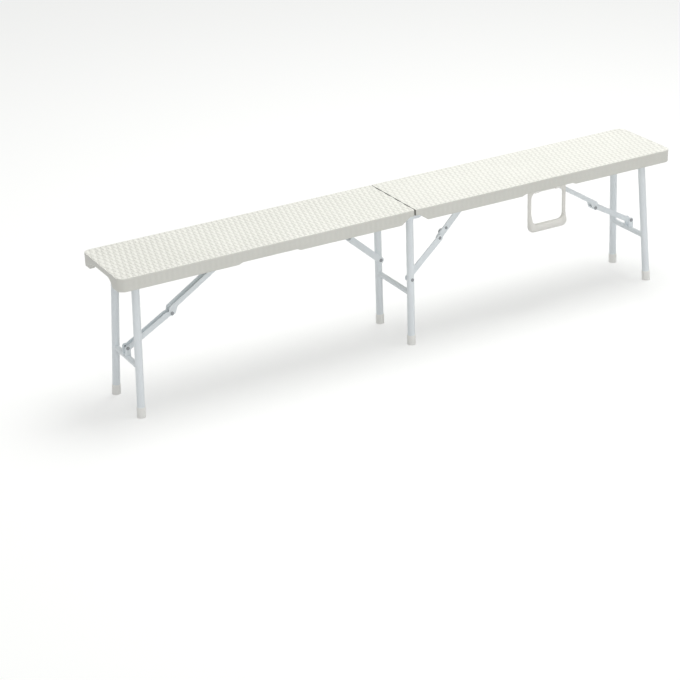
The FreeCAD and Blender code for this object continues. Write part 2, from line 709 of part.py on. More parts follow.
def channel(name, shape, room, width, wall, holes):
    """Folded sheet channel: side outline, inside room and pivot holes."""
    body = doc.addObject("PartDesign::Body", f"{name}_body")
    side = outline(body, f"{name}_side", "XZ_Plane", shape)
    pad(body, f"{name}_pad", side, width, "Symmetric")
    soften(body, f"{name}_rounds", "lower_knee_rise - side_play", lambda e: runs(e, V(0, 1, 0)))
    inside = outline(body, f"{name}_inside", "XZ_Plane", room)
    pocket(body, f"{name}_room", inside, f"{width} - 2 * {wall}", "Symmetric")
    rounds = circles(body, f"{name}_pivots", "XZ_Plane", holes)
    pocket(body, f"{name}_holes", rounds, f"2 * {width}", "Symmetric")
    doc.recompute()
    return body


def end_stay(side, turn):
    """Both channels and the rivet in the knee."""
    low = V(number("clevis_x"), 0, number("clevis_z"))
    high = V(number("stay_top_x"), 0, number("seat_height - stay_top_drop"))
    middle = knee(low, high, number("stay_lower_span"), number("stay_upper_span"))
    drop = "(upper_top_rise + upper_knee_drop)"
    upper_run = f"sqrt(stay_upper_span ^ 2 - {drop} ^ 2)"
    bottom = "-upper_top_rise"
    peak = "upper_height - upper_top_rise"
    deep = f"{upper_run} - 3 * clevis_radius"
    upper = channel(
        f"stay_{side}_upper",
        (("-upper_top_rise", bottom), (deep, bottom),
         (f"{upper_run} - clevis_radius", f"-{drop} - clevis_radius + knee_cut"),
         (f"{upper_run} + clevis_radius - knee_cut", f"-{drop} - clevis_radius + knee_cut"),
         (f"{upper_run} + clevis_radius - knee_cut", f"-{drop} + clevis_radius"),
         (f"{upper_run} - clevis_radius / 2", peak), ("-upper_top_rise", peak)),
        (("-link_width", f"{bottom} + link_web"), (deep, f"{bottom} + link_web"),
         (deep, "-2 * link_width"), (f"{upper_run} + link_width", "-2 * link_width"),
         (f"{upper_run} + link_width", "2 * link_width"), ("-link_width", "2 * link_width")),
        "link_width", "link_wall",
        ((0, 0, "pin_radius + running_fit"), (upper_run, f"-{drop}", "pin_radius")))
    upper.Placement = facing(high, middle, number("upper_top_rise"), number("-upper_knee_drop"))
    keep(upper, f"stay_{side}_upper", turn)
    lift = "(lower_foot_rise - lower_knee_rise)"
    lower_run = f"sqrt(stay_lower_span ^ 2 - {lift} ^ 2)"
    base = "-lower_knee_rise"
    lower = channel(
        f"stay_{side}_lower",
        (("-clevis_radius", base), (f"{lower_run} + clevis_radius", base),
         (f"{lower_run} + clevis_radius", f"{base} + lower_height"),
         ("2 * clevis_radius", f"{base} + lower_knee_height"),
         ("-clevis_radius", "clevis_radius - link_web")),
        (("-link_width", f"{base} + link_web"), (f"{lower_run} + link_width", f"{base} + link_web"),
         (f"{lower_run} + link_width", "2 * link_width"), ("-link_width", "2 * link_width")),
        f"2 * {lower_half_width()}", "link_wall",
        ((0, 0, "pin_radius + running_fit"), (lower_run, lift, "pin_radius + running_fit")))
    lower.Placement = facing(middle, low, number("lower_knee_rise"), number("lower_foot_rise"))
    keep(lower, f"stay_{side}_lower", turn)
    keep(knee_rivet(side, middle), f"stay_{side}_knee_rivet", turn)


def knee_rivet(side, middle):
    """Rivet through both channels at the knee."""
    half = "link_width / 2"
    parts = [rod(f"knee_{side}_shank", (0, f"-{half}", 0), "Y", "pin_radius", "link_width"),
             rod(f"knee_{side}_near", (0, f"-{half} - head_thick", 0), "Y", "head_radius",
                 "head_thick"),
             rod(f"knee_{side}_far", (0, half, 0), "Y", "head_radius", "head_thick")]
    rivet = fused(f"knee_{side}", parts)
    rivet.Placement = Placement(middle, Rotation())
    return rivet


def stay_bracket(side):
    """Pressed bracket in the groove: a web with two ears beside the upper link."""
    ceiling = "seat_height - panel_thick + groove_rise"
    pivot = "seat_height - stay_top_drop"
    inner = "link_width / 2 + side_play"
    back = "groove_start + bracket_thick / 2"
    run = f"stay_top_x - ({back})"
    parts = [box(f"stay_bracket_{side}_web", (back, f"-({inner})", f"{ceiling} - bracket_thick"),
                 (f"{run} - link_width / 2", f"2 * ({inner})", "bracket_thick"))]
    for word, y in (("near", f"-({inner}) - bracket_thick"), ("far", inner)):
        tag = f"stay_bracket_{side}_{word}"
        parts.append(box(f"{tag}_ear", (back, y, pivot), (f"{run} + clevis_radius", "bracket_thick",
                                                          f"{ceiling} - ({pivot})")))
        parts.append(rod(f"{tag}_round", ("stay_top_x", y, pivot), "Y", "clevis_radius",
                         "bracket_thick"))
    solid = fused(f"stay_bracket_{side}_solid", parts)
    hole = rod(f"stay_bracket_{side}_hole", ("stay_top_x", "-link_width", pivot), "Y",
               "pin_radius", "2 * link_width")
    return trimmed(f"stay_bracket_{side}", solid, [hole])


def stay_pin(side):
    """Pin of the end stay's upper pivot, with a head outside each ear."""
    pivot = "seat_height - stay_top_drop"
    half = "link_width / 2 + side_play + bracket_thick"
    parts = [rod(f"stay_pin_{side}_shank", ("stay_top_x", f"-({half})", pivot), "Y", "pin_radius",
                 f"2 * ({half})"),
             rod(f"stay_pin_{side}_near", ("stay_top_x", f"-({half}) - head_thick", pivot), "Y",
                 "head_radius", "head_thick"),
             rod(f"stay_pin_{side}_far", ("stay_top_x", half, pivot), "Y", "head_radius",
                 "head_thick")]
    return fused(f"stay_pin_{side}", parts)


# Centre stays: two flat bars with a knee

def flat_bar(name, span, thick, holes):
    """Flat bar with round ends, from its first pivot along X."""
    half = "bar_stay_height / 2"
    parts = [box(f"{name}_middle", (0, 0, f"-{half}"), (span, thick, "bar_stay_height")),
             rod(f"{name}_start", (0, 0, 0), "Y", half, thick),
             rod(f"{name}_end", (span, 0, 0), "Y", half, thick)]
    cutters = [rod(f"{name}_hole_{index}", (x, 0, 0), "Y", radius, thick)
               for index, (x, radius) in enumerate(holes)]
    return trimmed(f"{name}_bar", fused(f"{name}_solid", parts), cutters)


def centre_stay(side, turn):
    """Flat-bar stay between a centre leg and its seat half."""
    low = V(0, 0, number("bar_stay_z"))
    high = V(number("bar_top_x"), 0, number("seat_height - bar_top_drop"))
    middle = knee(low, high, number("bar_lower_span"), number("bar_upper_span"))
    lower = flat_bar(f"bar_{side}_lower", "bar_lower_span", "bar_stay_thick",
                     ((0, "pin_radius + running_fit"), ("bar_lower_span", "pin_radius")))
    lower.Placement = aimed(low, middle, "-bar_stay_y - bar_stay_thick")
    keep(lower, f"centre_stay_{side}_lower", turn)
    upper = flat_bar(f"bar_{side}_upper", "bar_upper_span", "bar_stay_thick",
                     ((0, "pin_radius"), ("bar_upper_span", "pin_radius + running_fit"),
                      ("lock_reach", "lock_rivet")))
    upper.Placement = aimed(middle, high, "-bar_stay_y + bar_stay_gap")
    keep(upper, f"centre_stay_{side}_upper", turn)
    lock = lock_plate(side)
    lock.Placement = aimed(middle, high, "-bar_stay_y + bar_stay_gap + bar_stay_thick")
    keep(lock, f"centre_stay_{side}_lock", turn)
    rivets = upper_rivets(side)
    rivets.Placement = aimed(middle, high, "-bar_stay_y")
    keep(rivets, f"centre_stay_{side}_upper_rivets", turn)
    stub = lower_rivet(side)
    stub.Placement = Placement(middle, Rotation())
    keep(stub, f"centre_stay_{side}_lower_rivet", turn)


def aimed(start, end, y):
    """Placement at start, moved to y, whose X points at end."""
    run = end - start
    angle = math.degrees(math.atan2(run.z, run.x))
    return Placement(V(start.x, number(y), start.z), Rotation(V(0, 1, 0), -angle))


def lock_plate(side):
    """Lock plate on the upper bar, with a raised back."""
    half = "(bar_stay_height / 2 - lock_thick)"
    parts = [box(f"lock_{side}_plate", (0, 0, f"-{half}"),
                 ("lock_reach", "lock_thick", f"2 * {half}")),
             rod(f"lock_{side}_start", (0, 0, 0), "Y", half, "lock_thick"),
             rod(f"lock_{side}_end", ("lock_reach", 0, 0), "Y", half, "lock_thick"),
             rod(f"lock_{side}_back", ("lock_reach / 2", 0, "bar_stay_height / 4"), "Y",
                 f"{half} + lock_thick / 2", "lock_thick")]
    holes = [rod(f"lock_{side}_hole_0", (0, 0, 0), "Y", "pin_radius", "lock_thick"),
             rod(f"lock_{side}_hole_1", ("lock_reach", 0, 0), "Y", "lock_rivet",
                 "lock_thick")]
    return trimmed(f"lock_{side}", fused(f"lock_{side}_solid", parts), holes)


def upper_rivets(side):
    """Knee and lock rivets of the upper bar; the knee rivet stops at the washer gap."""
    bar = "bar_stay_gap"
    through = "bar_stay_thick + lock_thick"
    parts = []
    for word, x, radius, head in (("knee", 0, "pin_radius", "washer_radius"),
                                  ("lock", "lock_reach", "lock_rivet", "small_head")):
        tag = f"upper_rivet_{side}_{word}"
        parts.append(rod(f"{tag}_shank", (x, bar, 0), "Y", radius, through))
        parts.append(rod(f"{tag}_washer", (x, "side_play", 0), "Y", head, f"{bar} - side_play"))
        parts.append(rod(f"{tag}_head", (x, f"{bar} + {through}", 0), "Y", "small_head",
                         "head_thick"))
    return fused(f"upper_rivets_{side}", parts)


def lower_rivet(side):
    """Flush knee rivet of the lower bar, with a thin head towards the leg."""
    outer = "-bar_stay_y - bar_stay_thick"
    parts = [rod(f"lower_rivet_{side}_shank", (0, outer, 0), "Y", "pin_radius", "bar_stay_thick"),
             rod(f"lower_rivet_{side}_head", (0, f"{outer} - side_play", 0), "Y", "head_radius",
                 "side_play")]
    return fused(f"lower_rivet_{side}", parts)


def bar_bracket(side):
    """Angle bracket under the panel for the flat bar's upper pivot."""
    under = "seat_height - panel_thick"
    pivot = "seat_height - bar_top_drop"
    y = "-bar_stay_y + bar_stay_gap + bar_stay_thick + side_play"
    half = "bar_stay_height / 2"
    parts = [box(f"bar_bracket_{side}_plate", (f"bar_top_x - {half}", y, pivot),
                 ("bar_stay_height", "bracket_thick", f"{under} - ({pivot})")),
             rod(f"bar_bracket_{side}_round", ("bar_top_x", y, pivot), "Y", half, "bracket_thick"),
             box(f"bar_bracket_{side}_foot", (f"bar_top_x - {half} - bar_foot", y,
                                              f"{under} - bracket_thick"),
                 ("bar_stay_height + 2 * bar_foot", "bar_stay_height", "bracket_thick"))]
    hole = rod(f"bar_bracket_{side}_hole", ("bar_top_x", y, pivot), "Y", "pin_radius",
               "bracket_thick")
    return trimmed(f"bar_bracket_{side}", fused(f"bar_bracket_{side}_solid", parts), [hole])


def bar_pin(side):
    """Pin of the centre stay's upper pivot."""
    pivot = "seat_height - bar_top_drop"
    outer = "-bar_stay_y + bar_stay_gap - side_play"
    inner = "-bar_stay_y + bar_stay_gap + bar_stay_thick + side_play + bracket_thick"
    parts = [rod(f"bar_pin_{side}_shank", ("bar_top_x", outer, pivot), "Y", "pin_radius",
                 f"({inner}) - ({outer})"),
             rod(f"bar_pin_{side}_outer", ("bar_top_x", f"{outer} - head_thick", pivot), "Y",
                 "head_radius", "head_thick"),
             rod(f"bar_pin_{side}_inner", ("bar_top_x", inner, pivot), "Y", "head_radius",
                 "head_thick")]
    return fused(f"bar_pin_{side}", parts)


# Carrying handle

def handle():
    """Moulded loop: two straps, a thick grip and the round bar that it swings on."""
    axis = "seat_height - handle_drop"
    bottom = f"{axis} - handle_reach"
    left, right = "handle_middle - handle_width / 2", "handle_middle + handle_width / 2"
    top, grip_top = f"{axis} + handle_bar / 2", f"{bottom} + grip_height"
    body = doc.addObject("PartDesign::Body", "handle_body")
    outer = outline(body, "handle_outer", "XZ_Plane",
                    ((left, bottom), (right, bottom), (right, top), (left, top)))
    pad(body, "handle_plate", outer, "handle_thick", "Symmetric")
    lowest = number(bottom)
    soften(body, "handle_corners", "handle_corner",
           lambda e: runs(e, V(0, 1, 0)) and e.CenterOfMass.z < lowest + 0.01)
    inner = (f"{left} + handle_strap", f"{right} - handle_strap")
    loop = outline(body, "handle_inner", "XZ_Plane",
                   ((inner[0], grip_top), (inner[1], grip_top),
                    (inner[1], f"{axis} - handle_bar / 2"), (inner[0], f"{axis} - handle_bar / 2")))
    pocket(body, "handle_opening", loop, "handle_width", "Symmetric")
    sides = [number(text) for text in inner]
    soften(body, "handle_bends", "handle_bend",
           lambda e: runs(e, V(0, 1, 0)) and min(abs(e.CenterOfMass.x - x) for x in sides) < 0.01)
    ends = (f"{left} + handle_corner", f"{right} - handle_corner")
    grip = outline(body, "handle_grip_outline", "XZ_Plane",
                   ((ends[0], bottom), (ends[1], bottom), (ends[1], grip_top), (ends[0], grip_top)))
    depth = pad(body, "handle_grip", grip, "grip_depth - handle_thick / 2", "Two sides")
    bind(depth, "Length2", "handle_thick / 2 + grip_inner")
    front = -number("grip_depth - handle_thick / 2") + 0.01
    soften(body, "handle_grip_rounds", "grip_round",
           lambda e: runs(e, V(1, 0, 0)) and e.CenterOfMass.y < front)
    bind_base(body, (0, "-handle_y", 0))
    doc.recompute()
    bar = rod("handle_bar_rod", (f"{left} + handle_strap / 2", "-handle_y", axis), "X",
              "handle_bar", "handle_width - handle_strap")
    keep(fused("handle_whole", [body, bar]), "handle")


def handle_clips():
    """Two clips under the panel that the handle's bar turns in."""
    axis = "seat_height - handle_drop"
    under = "seat_height - panel_thick"
    outer = "handle_bar + running_fit + clip_wall"
    solids = []
    for word, sign in (("inner", "-"), ("outer", "+")):
        x = f"handle_middle {sign} clip_offset - clip_width / 2"
        tag = f"clip_{word}"
        ring = rod(f"{tag}_ring", (x, "-handle_y", axis), "X", outer, "clip_width")
        post = box(f"{tag}_post", (x, "-handle_y", axis),
                   ("clip_width", outer, f"{under} - ({axis})"))
        foot = box(f"{tag}_foot", (x, "-handle_y", f"{under} - clip_wall"),
                   ("clip_width", "2 * clip_width", "clip_wall"))
        bore = rod(f"{tag}_bore", (x, "-handle_y", axis), "X", "handle_bar + running_fit",
                   "clip_width")
        solids.append(trimmed(tag, fused(f"{tag}_whole", [ring, post, foot]), [bore]))
    keep(fused("clips_all", solids), "handle_clips")


def build():
    fill_sheet()
    for side, turn in SIDES:
        seat_half(side, turn, side == "right")
        end_frame(side, turn)
        end_stay(side, turn)
        centre_stay(side, turn)
        for maker, node in ((saddles, "pivot_saddles"), (hinge_straps, "hinge_straps"),
                            (stay_bracket, "stay_bracket"), (stay_pin, "stay_pin"),
                            (bar_bracket, "bar_bracket"), (bar_pin, "bar_pin")):
            keep(maker(side), f"{node}_{side}", turn)
    centre_frame()
    for word, sign in (("near", "-"), ("far", "")):
        hinge_plate(word, sign)
        hinge_pins(word, sign)
    handle()
    handle_clips()
    doc.recompute()


def write_pieces():
    """Check every object, then write each piece to its own file."""
    for item in doc.Objects:
        if "Invalid" in item.State or "Error" in item.State:
            raise RuntimeError(f"{item.Label} failed: {item.State}")
    os.makedirs("parts", exist_ok=True)
    for item in pieces:
        shape = item.Shape
        if shape.isNull() or not shape.isValid():
            raise RuntimeError(f"{item.Label} has no valid shape")
        shape.exportStep(f"parts/{item.Label}.step")
        print(f"{item.Label}: {len(shape.Solids)} solid, {shape.Volume:.1f} mm3")


build()
write_pieces()
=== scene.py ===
"""Folding bench that shuts like a suitcase: its looks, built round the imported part.

Lengths are in millimetres until a mesh is made, and the frame is the part's own: X along
the bench, Y to its far side, Z up, with the origin on the floor under the middle.
"""
import json
import math

import bmesh
import bpy
import numpy as np
from mathutils import Matrix


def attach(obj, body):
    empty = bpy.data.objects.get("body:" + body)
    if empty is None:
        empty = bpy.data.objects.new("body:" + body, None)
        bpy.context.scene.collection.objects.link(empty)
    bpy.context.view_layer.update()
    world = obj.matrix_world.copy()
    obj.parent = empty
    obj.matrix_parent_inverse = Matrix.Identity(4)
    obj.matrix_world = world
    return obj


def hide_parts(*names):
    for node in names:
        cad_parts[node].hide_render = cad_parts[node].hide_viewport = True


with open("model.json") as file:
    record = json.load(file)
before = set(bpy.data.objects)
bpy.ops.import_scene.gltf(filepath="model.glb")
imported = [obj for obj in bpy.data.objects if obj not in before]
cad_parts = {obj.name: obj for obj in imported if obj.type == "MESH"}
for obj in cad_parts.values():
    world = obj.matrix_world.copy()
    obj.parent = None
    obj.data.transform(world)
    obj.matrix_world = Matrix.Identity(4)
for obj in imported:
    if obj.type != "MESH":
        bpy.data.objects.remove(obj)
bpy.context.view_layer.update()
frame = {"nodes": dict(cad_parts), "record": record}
nodes = frame["nodes"]

# Seat halves
# High-density polyethylene, blow moulded in one piece each: a panel with a rim, a rattan
# pattern on top and faint upright ribs round the rim. Straps are screwed on underneath.
SEAM, END, EDGE = 1.0, 915.0, 125.0
TOP, PANEL, FOOT = 433.0, 423.0, 393.0
TOP_ROUND, RIM, END_RIM = 2.5, 8.0, 16.0
OUTER_CORNER, INNER_CORNER, SEAM_CORNER, SEAM_INNER_CORNER = 22.0, 14.0, 4.0, 0.4
SQUARE_FROM, SQUARE_TO = 14.0, 868.0
SHALLOW, NOTCH_START, NOTCH_END, NOTCH_ROUND = 413.0, 16.0, 44.0, 8.0
RECESS_START, RECESS_END, RECESS_SLOPE, RECESS_RISE, RECESS_ROUND = 370.0, 560.0, 10.0, 5.0, 9.0
ARCH_TOP, ARCH_HALF, ARCH_FOOT, ARCH_ROUNDS = 415.0, 65.5, 77.5, (30.0, 7.0)
GROOVE_START, GROOVE_END, GROOVE_HALF, GROOVE_DEPTH = 446.0, 796.0, 18.0, 4.5
STRAND, STRAND_RISE, STRAND_WAVE, STRAND_FLATTER = 8.06, 1.4, 1.0, 0.7
STAKE, STAKE_RISE, STAKE_HALF = 26.9, 1.0, 7.0
WEAVE_DEPTH = STRAND_WAVE + STRAND_RISE
RIB_SINK, FOOT_ROOM = 0.32, 2.0
STEP, SEAM_LEAN = 0.1, 9.0
SLIT_WIDE, SLIT_FROM, SLIT_TO, SLIT_AT_RIM, SLIT_HOLLOW = 1.5, 1.2, 4.0, 4.5, 3.5
PAST = 999.0
ACROSS = np.linspace(-1, 1, 57)


def linear(code):
    """A colour written as sRGB hex, with each channel turned to linear light."""
    channels = np.array([int(code[i:i + 2], 16) for i in (1, 3, 5)]) / 255
    low, high = channels / 12.92, ((channels + 0.055) / 1.055) ** 2.4
    return (*np.where(channels <= 0.04045, low, high).tolist(), 1.0)


def add(tree, kind, links=(), **settings):
    """One shader node: its properties and socket values are set, then its links are made."""
    node = tree.nodes.new(f"ShaderNode{kind}")
    for name, value in settings.items():
        if hasattr(node, name):
            setattr(node, name, value)
        else:
            node.inputs[name.replace("_", " ")].default_value = value
    for source, socket in links:
        tree.links.new(source, node.inputs[socket])
    return node


def finish_of(name, **shader):
    """A material with one Principled shader, its node tree, and the shader itself."""
    material = bpy.data.materials.new(name)
    material.use_nodes = True
    surface = material.node_tree.nodes["Principled BSDF"]
    for socket, value in shader.items():
        surface.inputs[socket.replace("_", " ")].default_value = value
    return material, material.node_tree, surface


def spread(ends, count):
    """Evenly spaced values from one end to the other."""
    return np.linspace(*ends, count)


def seat_plan(seam, end, edge, seam_round, end_round):
    """Closed outline of a seat half: near side, end, far side and seam side, as a straight
    and a quarter circle in turn. Points keep their X from one outline to the next, except
    beside a corner, so that notches and ribs stay square to the rim."""
    run = np.arange(SEAM + SEAM_CORNER, END - OUTER_CORNER + 0.01, STRAND / 5)
    run[-1] = END - OUTER_CORNER
    straight = np.interp(run, [run[0], SQUARE_FROM, SQUARE_TO, run[-1]],
                         [seam + seam_round, SQUARE_FROM, SQUARE_TO, end - end_round])
    turn = spread((0, math.pi / 2), 15)[1:-1]
    small = spread((0, math.pi / 2), 5)[1:-1]
    corner_x = np.concatenate([seam + seam_round - seam_round * np.cos(small), straight,
                               end - end_round + end_round * np.sin(turn)])
    corner_y = np.concatenate([edge - seam_round + seam_round * np.sin(small),
                               np.full(len(straight), edge),
                               edge - end_round + end_round * np.cos(turn)])
    rim_end = edge_of_rim(edge, seam_round)
    seam_side = (edge - seam_round) * ACROSS
    seam_side[1:3] = [-rim_end, STEP - rim_end]
    seam_side[-3:-1] = -seam_side[2:0:-1]
    end_side = (edge - end_round) * ACROSS
    near = np.stack([corner_x, -corner_y], -1)
    far = np.stack([corner_x, corner_y], -1)[::-1]
    right = np.stack([np.full(len(ACROSS), end), end_side], -1)
    left = np.stack([np.full(len(ACROSS), seam), seam_side], -1)[::-1]
    return near, right, far, left


def edge_of_rim(edge, seam_round):
    """Y where a long rim ends on the seam side, kept just inside that side's last point."""
    return min(EDGE - RIM, edge - seam_round - STEP / 2)


def bent_line(corners, radii, at):
    """Height along a bent line at the places asked for: each corner gives way to an arc
    that touches the straights on both sides, and the line is read off between its points."""
    corners = np.array(corners, float)
    points = [corners[:1]]
    for before, corner, after, radius in zip(corners, corners[1:], corners[2:], radii):
        back, on = before - corner, after - corner
        back, on = back / np.linalg.norm(back), on / np.linalg.norm(on)
        half = math.acos(float(np.clip(back @ on, -1, 1))) / 2
        middle = (back + on) / np.linalg.norm(back + on)
        centre = corner + middle * radius / math.sin(half)
        reach = radius / math.tan(half)
        ends = [corner + back * reach - centre, corner + on * reach - centre]
        sweep = math.pi - 2 * half
        share = spread((0, 1), 13)[:, None] * sweep
        arc = (np.sin(sweep - share) * ends[0] + np.sin(share) * ends[1]) / math.sin(sweep)
        points.append(centre + arc)
    points.append(corners[-1:])
    line = np.concatenate(points)
    return np.interp(at, line[:, 0], line[:, 1])


def rim_foot(outline, near_side):
    """Lower edge of the rim: shallow beside the seam, slightly raised over the handle, and
    cut away in a wide arch at the end. The seam side has no rim at all."""
    near, right, far, left = outline
    notch = bent_line([(-9, SHALLOW), (NOTCH_START, SHALLOW), (NOTCH_END, FOOT), (PAST, FOOT)],
                      (NOTCH_ROUND, NOTCH_ROUND), near[:, 0])
    recess = bent_line([(0, 0), (RECESS_START, 0), (RECESS_START + RECESS_SLOPE, RECESS_RISE),
                        (RECESS_END - RECESS_SLOPE, RECESS_RISE), (RECESS_END, 0), (PAST, 0)],
                       (RECESS_ROUND,) * 4, near[:, 0])
    arch = bent_line([(0, ARCH_TOP), (ARCH_HALF, ARCH_TOP), (ARCH_FOOT, FOOT), (PAST, FOOT)],
                     ARCH_ROUNDS, np.abs(right[:, 1]))
    seam = np.where(np.abs(left[:, 1]) < EDGE - RIM - STEP / 2, PANEL, SHALLOW)
    sides = (notch + recess, notch) if near_side else (notch, notch + recess)
    return np.concatenate([sides[0], arch, sides[1][::-1], seam])


def weave(x, y):
    """How far the rattan pattern lies under its highest point. A strand runs across the
    bench, half round with a flatter back; it rises and dips as a cosine, each strand
    opposite to the next. Stakes run along the bench under every rise, also half round,
    and the higher of the two shows."""
    place = x / STRAND
    across = 2 * (place - np.floor(place)) - 1
    wave = np.cos(math.pi * (y / STAKE + np.floor(place + 1e-6)))
    wave = np.where(np.abs(across) > 0.99, 0, wave)
    half_round = np.sqrt(np.clip(1 - across ** 2, 0, 1))
    strand = STRAND_WAVE * wave + STRAND_RISE * half_round ** STRAND_FLATTER
    from_stake = (y / STAKE - np.round(y / STAKE)) * STAKE / STAKE_HALF
    stake = STAKE_RISE * np.sqrt(np.clip(1 - from_stake ** 2, 0, 1))
    return WEAVE_DEPTH - np.maximum(strand, stake)


def sheet(outline, height):
    """Grid that fills an outline: each column runs from its near to its far side, and the
    columns beside the seam lean to the seam side's own points."""
    near, right, far, left = outline
    x = np.concatenate([left[:1, 0], near[:, 0], right[:1, 0]])
    half = np.concatenate([[-left[-1, 1]], -near[:, 1], [-right[0, 1]]])
    y = half[:, None] * ACROSS
    nudge = left[::-1, 1] - half[0] * ACROSS
    y += nudge * np.clip(1 - (x - x[0]) / SEAM_LEAN, 0, 1)[:, None]
    x = np.broadcast_to(x[:, None], y.shape)
    return np.stack([x, y, height(x, y)], -1)


def moulding(name, grids, material, crease=math.radians(35), same_place=4e-6):
    """Closed object from grids of points: neighbours in a grid make a face, points of
    different grids in one place become one, and edges sharper than the crease stay sharp."""
    points = np.concatenate([grid.reshape(-1, 3) for grid in grids]) * 0.001
    faces, start = [], 0
    for grid in grids:
        index = start + np.arange(grid.shape[0] * grid.shape[1]).reshape(grid.shape[:2])
        faces.append(np.stack([index[:-1, :-1], index[1:, :-1], index[1:, 1:],
                               index[:-1, 1:]], -1).reshape(-1, 4))
        start += index.size
    mesh = bpy.data.meshes.new(name)
    mesh.from_pydata(points.tolist(), [], np.concatenate(faces).tolist())
    shape = bmesh.new()
    shape.from_mesh(mesh)
    bmesh.ops.remove_doubles(shape, verts=shape.verts, dist=same_place)
    bmesh.ops.recalc_face_normals(shape, faces=shape.faces)
    shape.to_mesh(mesh)
    shape.free()
    mesh.shade_smooth()
    mesh.set_sharp_from_angle(angle=crease)
    mesh.materials.append(material)
    item = bpy.data.objects.new(name, mesh)
    bpy.context.scene.collection.objects.link(item)
    return item


def seat_grids(near_side):
    """The half's skin: woven top, rim carried round the outline, and flat underside."""
    outer = seat_plan(SEAM, END, EDGE, SEAM_CORNER, OUTER_CORNER)
    inner = seat_plan(SEAM + RIM, END - END_RIM, EDGE - RIM, SEAM_INNER_CORNER,
                      INNER_CORNER)
    crown = seat_plan(SEAM + TOP_ROUND, END - TOP_ROUND, EDGE - TOP_ROUND,
                      SEAM_CORNER - TOP_ROUND, OUTER_CORNER - TOP_ROUND)
    top = sheet(crown, lambda x, y: TOP - weave(x, y))
    outside, inside, brow = (np.concatenate(plan) for plan in (outer, inner, crown))
    foot = rim_foot(outer, near_side)
    length = np.concatenate([[0], np.cumsum(np.linalg.norm(np.diff(outside, axis=0), axis=1))])
    rib = RIB_SINK / 2 * (1 - np.cos(2 * math.pi * length / (2 * STRAND)))
    dip = weave(brow[:, 0], brow[:, 1])
    rows = []

    def ring(share, height, sunk=0.0):
        """One turn of the rim's profile: a share of the way from the crown's outline (0)
        through the outer (1) to the inner one (2), at a height."""
        flat = np.where(share <= 1, brow + (outside - brow) * share,
                        outside + (inside - outside) * (share - 1))
        toward = inside - outside
        toward /= np.linalg.norm(toward, axis=1)[:, None]
        flat = flat + toward * np.broadcast_to(sunk, foot.shape)[:, None]
        rows.append(np.column_stack([flat, np.broadcast_to(height, foot.shape)]))

    for angle in spread((0, math.pi / 2), 6):
        ring(math.sin(angle), TOP - TOP_ROUND * (1 - math.cos(angle)) - dip * math.cos(angle) ** 2)
    # Upright ribs fade out towards the skirt's upper and lower edges.
    tall = np.maximum(TOP - TOP_ROUND - foot - FOOT_ROOM, 1)
    for share, depth in ((0.08, 0.6), (0.25, 1), (0.5, 1), (0.75, 1), (0.92, 0.8), (1, 0.4)):
        ring(1.0, TOP - TOP_ROUND - tall * share, rib * depth)
    # The rim's foot is rounded on both sides and flat between them.
    ring(1.08, foot + 0.6)
    ring(1.25, foot)
    ring(1.85, foot)
    ring(1.96, np.minimum(foot + 0.4, PANEL))
    ring(2.0, np.minimum(foot + 1.4, PANEL))
    ring(2.0, PANEL)
    skirt = np.array(rows)
    skirt = np.concatenate([skirt, skirt[:, :1]], axis=1)

    def underside(x, y):
        """The panel's lower face, raised in the groove for the folded end stay."""
        grooved = (x > GROOVE_START) & (x < GROOVE_END) & (np.abs(y) < GROOVE_HALF)
        return PANEL + GROOVE_DEPTH * grooved

    return [top, skirt, sheet(inner, underside)]


def mark_hollows(seat, turn):
    """Stores at each point how many millimetres it lies in the weave, for the painted shade of
    the hollows. Points just under the seat's edge at the seam count as deeper than any hollow,
    so that the slit takes the darkest painted shade."""
    place = np.empty(len(seat.data.vertices) * 3)
    seat.data.vertices.foreach_get("co", place)
    x, y, z = place.reshape(-1, 3).T * 1000
    depth = np.where(z > TOP - WEAVE_DEPTH - 0.05, weave(x * turn, y * turn), 0)
    slit = (x * turn < SEAM + SLIT_WIDE) & (z < TOP - SLIT_FROM)
    slit &= (z > TOP - SLIT_TO) | (np.abs(y) > EDGE - SLIT_AT_RIM)
    depth = np.where(slit, SLIT_HOLLOW, depth)
    seat.data.attributes.new("hollow", "FLOAT", "POINT").data.foreach_set("value", depth)


# Blow moulded polyethylene is a matt, waxy off-white: broad soft highlights, the fine skin
# of a blasted mould, and a cloudy tint. Painted shade makes the hollows of the weave
# greyer, and the slit at the seam nearly dark. A real skin's grain is about 0.3 mm wide, in
# this finish and the next ones, and is drawn coarser so that it shows.
SKIN_GRAIN, TINT_CLOUD, GRAIN_DEPTH = 1.1, 167.0, 0.2
hdpe, tree, surface = finish_of("blow moulded polyethylene, off-white", Roughness=0.48,
                                IOR=1.54)
place = add(tree, "TexCoord")
grain = add(tree, "TexNoise", [(place.outputs["Object"], "Vector")],
            Scale=1000 / SKIN_GRAIN, Detail=3.0)
tint = add(tree, "TexNoise", [(place.outputs["Object"], "Vector")],
           Scale=1000 / TINT_CLOUD, Detail=4.0)
shade = add(tree, "ValToRGB", [(tint.outputs["Fac"], "Fac")])
shade.color_ramp.elements[0].color = linear("#DEDED6")
shade.color_ramp.elements[1].color = linear("#E7E7E0")
hollow = add(tree, "Attribute", attribute_name="hollow")
# Painted shade: the deeper a point lies in the weave, the more its colour turns to a grey.
deep = add(tree, "MapRange", [(hollow.outputs["Fac"], "Value")], From_Min=1.1,
           From_Max=WEAVE_DEPTH, To_Max=0.85)
painted_weave_shade = add(tree, "Mix", [(deep.outputs["Result"], "Factor"), (shade.outputs["Color"], "A")],
           data_type="RGBA", B=linear("#A9A89F"))
